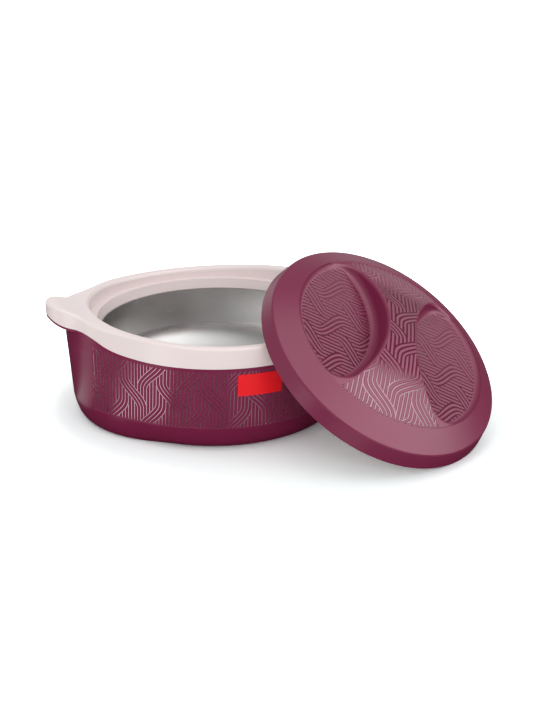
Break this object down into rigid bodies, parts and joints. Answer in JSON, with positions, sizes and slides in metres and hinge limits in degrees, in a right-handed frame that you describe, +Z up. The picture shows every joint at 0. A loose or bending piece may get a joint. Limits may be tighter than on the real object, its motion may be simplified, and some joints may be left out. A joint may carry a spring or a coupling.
{
  "type": "insulated casserole",
  "caption": "Insulated chapati casserole with a steel bowl, a pale rim with ears and a lift-off lid that leans against it.",
  "frame": {"origin": "on the floor under the middle of the body, on the flat pad in the middle of the base", "axes": "+Z up; the ears lie along X; the front of the body faces -Y and the lid leans at its front right"},
  "size_m": [0.3273, 0.3013, 0.1287],
  "materials": {
    "maroon_wall": "satin gloss, embossed",
    "maroon_lid": "satin gloss, embossed",
    "pale_collar": "gloss",
    "pale_liner": "gloss",
    "bowl_steel": "polished inside",
    "rigid_foam": "matte",
    "red_sticker": "gloss"
  },
  "bodies": {
    "body": {"outer_shell": "maroon_wall", "rim_collar": "pale_collar", "steel_bowl": "bowl_steel", "body_foam": "rigid_foam", "base_plug": "maroon_wall", "front_plate": "red_sticker"},
    "lid": {"lid_shell": "maroon_lid", "lid_liner": "pale_liner", "lid_foam": "rigid_foam", "lid_plug": "pale_liner"}
  },
  "joints": [
    {"name": "lid_lift", "type": "slide", "parent": "body", "child": "lid", "axis": [0, 0, 1], "range_m": [0, 0.12]}
  ]
}
